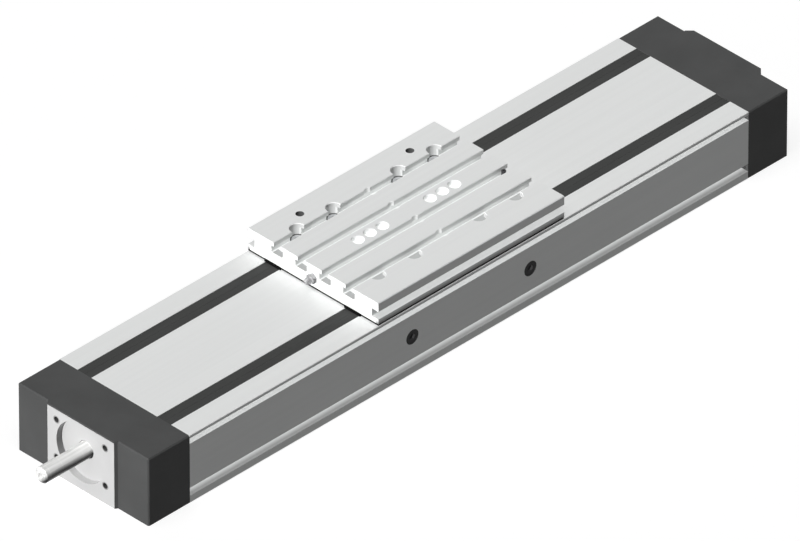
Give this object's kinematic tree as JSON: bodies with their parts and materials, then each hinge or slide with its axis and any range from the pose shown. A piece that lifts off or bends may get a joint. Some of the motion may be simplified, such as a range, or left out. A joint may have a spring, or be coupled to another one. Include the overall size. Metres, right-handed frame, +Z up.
{
  "type": "compact linear module",
  "caption": "Low, wide linear module: extruded frame with a cover plate and seal strips, T-slotted carriage on inner rails, ball screw, black end caps and a flange with a bare drive journal.",
  "frame": {"origin": "centre of the frame's underside; the carriage rests at the middle of its travel", "axes": "+X along the module from the drive end to the far end, +Y to the side of the locating holes, +Z up"},
  "size_m": [0.7615, 0.145, 0.086],
  "materials": {
    "anodised": "satin clear anodised",
    "machined": "fine machined",
    "cap_black": "fine-grained matte black",
    "strip_black": "smooth dark grey",
    "seal_rubber": "matte black",
    "rail_steel": "ground",
    "block_steel": "ground, with plain sides",
    "cap_green": "moulded dark green",
    "shaft_steel": "ground and polished",
    "bearing_steel": "ground",
    "ball_steel": "polished",
    "black_screw": "black oxide",
    "zinc_screw": "zinc plated",
    "plug_black": "smooth black",
    "wiper_white": "smooth off-white"
  },
  "bodies": {
    "frame": {"frame_profile": "anodised", "cover_plate": "anodised", "drive_end_block": "machined", "far_end_block": "machined", "bearing_retainer": "machined", "drive_end_cap": "cap_black", "far_end_cap": "cap_black", "outer_seal_left": "strip_black", "outer_seal_right": "strip_black", "inner_seal_left": "strip_black", "inner_seal_right": "strip_black", "shaft_seal": "seal_rubber", "drive_bumpers": "seal_rubber", "far_bumpers": "seal_rubber", "guide_rail_left": "rail_steel", "guide_rail_right": "rail_steel", "fixed_bearing_outer_ring": "bearing_steel", "floating_bearing_outer_ring": "bearing_steel", "rail_screws_left": "black_screw", "rail_screws_right": "black_screw", "drive_block_screws": "black_screw", "far_block_screws": "black_screw", "cover_plate_screws": "black_screw", "side_plugs": "plug_black", "rail_plugs_left": "plug_black", "rail_plugs_right": "plug_black"},
    "carriage": {"carriage_plate": "anodised", "inner_saddle": "machined", "carriage_screws": "black_screw", "saddle_screws": "black_screw", "strip_guides": "strip_black", "plate_wipers": "seal_rubber", "slot_stop_screw": "black_screw", "lube_nipple": "zinc_screw", "lube_plug": "zinc_screw", "nut_housing": "machined", "housing_screws": "black_screw", "ball_nut": "block_steel", "nut_wipers": "wiper_white", "runner_block_front_left": "block_steel", "runner_block_front_right": "block_steel", "runner_block_rear_left": "block_steel", "runner_block_rear_right": "block_steel", "runner_caps_front_left": "cap_green", "runner_caps_front_right": "cap_green", "runner_caps_rear_left": "cap_green", "runner_caps_rear_right": "cap_green", "runner_seals_front_left": "seal_rubber", "runner_seals_front_right": "seal_rubber", "runner_seals_rear_left": "seal_rubber", "runner_seals_rear_right": "seal_rubber"},
    "screw": {"ball_screw": "shaft_steel", "lock_nut": "bearing_steel", "shaft_circlip": "bearing_steel", "fixed_bearing_inner_ring": "bearing_steel", "fixed_bearing_balls": "ball_steel", "floating_bearing_inner_ring": "bearing_steel", "floating_bearing_balls": "ball_steel"}
  },
  "joints": [
    {"name": "carriage_travel", "type": "slide", "parent": "frame", "child": "carriage", "axis": [1, 0, 0], "range_m": [-0.2, 0.2]},
    {"name": "screw_spin", "type": "hinge", "parent": "frame", "child": "screw", "pos_m": [0, 0, 0.035], "axis": [1, 0, 0], "continuous": true}
  ],
  "couplings": [
    {"joint": "screw_spin", "follows": "carriage_travel", "rad_per_m": -314.16}
  ]
}
